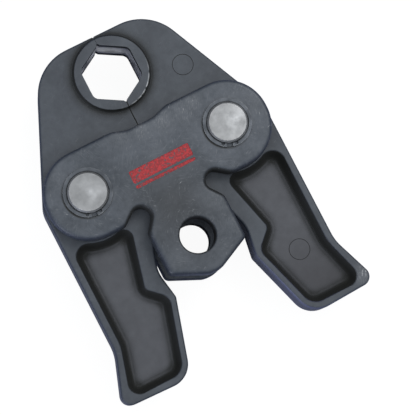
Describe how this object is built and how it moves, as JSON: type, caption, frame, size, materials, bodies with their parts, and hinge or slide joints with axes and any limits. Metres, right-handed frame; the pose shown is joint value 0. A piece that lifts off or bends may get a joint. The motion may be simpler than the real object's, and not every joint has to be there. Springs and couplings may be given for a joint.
{
  "type": "press fitting tool jaw",
  "caption": "Forged steel jaw for a pipe press tool: sprung arms swing on pivot pins between side plates and close a hexagonal die at the tip when rollers run in between the tails.",
  "frame": {"origin": "on the axis of the tool-pin bore in the tab of the side plates, midway between the plates", "axes": "+Z along the tool-pin bore out of the front plate, the one with the stamped bars; +Y to the die and the jaw's tip; +X to the right arm as seen from the front. The part lies on its rear side."},
  "size_m": [0.1098, 0.1374, 0.037],
  "materials": {
    "arm_steel": "dark phosphated forged steel, satin, slightly mottled",
    "plate_steel": "dark blue-grey phosphated forged steel, satin, finely scratched, two stamped bars filled in red",
    "pin_steel": "ground bare steel with dull smudges",
    "ring_steel": "dark phosphated spring steel",
    "spring_steel": "dark oiled spring wire"
  },
  "bodies": {
    "side_plates": {"front_side_plate": "plate_steel", "rear_side_plate": "plate_steel", "right_pivot_pin": "pin_steel", "left_pivot_pin": "pin_steel", "right_front_retaining_ring": "ring_steel", "left_front_retaining_ring": "ring_steel", "right_rear_retaining_ring": "ring_steel", "left_rear_retaining_ring": "ring_steel", "jaw_spring": "spring_steel"},
    "right_arm": {"right_jaw_arm": "arm_steel"},
    "left_arm": {"left_jaw_arm": "arm_steel"}
  },
  "joints": [
    {"name": "right_arm_swing", "type": "hinge", "parent": "side_plates", "child": "right_arm", "pos_m": [0.0307, 0.034, 0], "axis": [0, 0, -1], "range_deg": [0, 18], "stiffness_Nm_per_rad": 6, "springref_deg": -17.19, "deforming": ["jaw_spring"]},
    {"name": "left_arm_swing", "type": "hinge", "parent": "side_plates", "child": "left_arm", "pos_m": [-0.0307, 0.034, 0], "axis": [0, 0, 1], "range_deg": [0, 18], "stiffness_Nm_per_rad": 6, "springref_deg": -17.19, "deforming": ["jaw_spring"]}
  ]
}
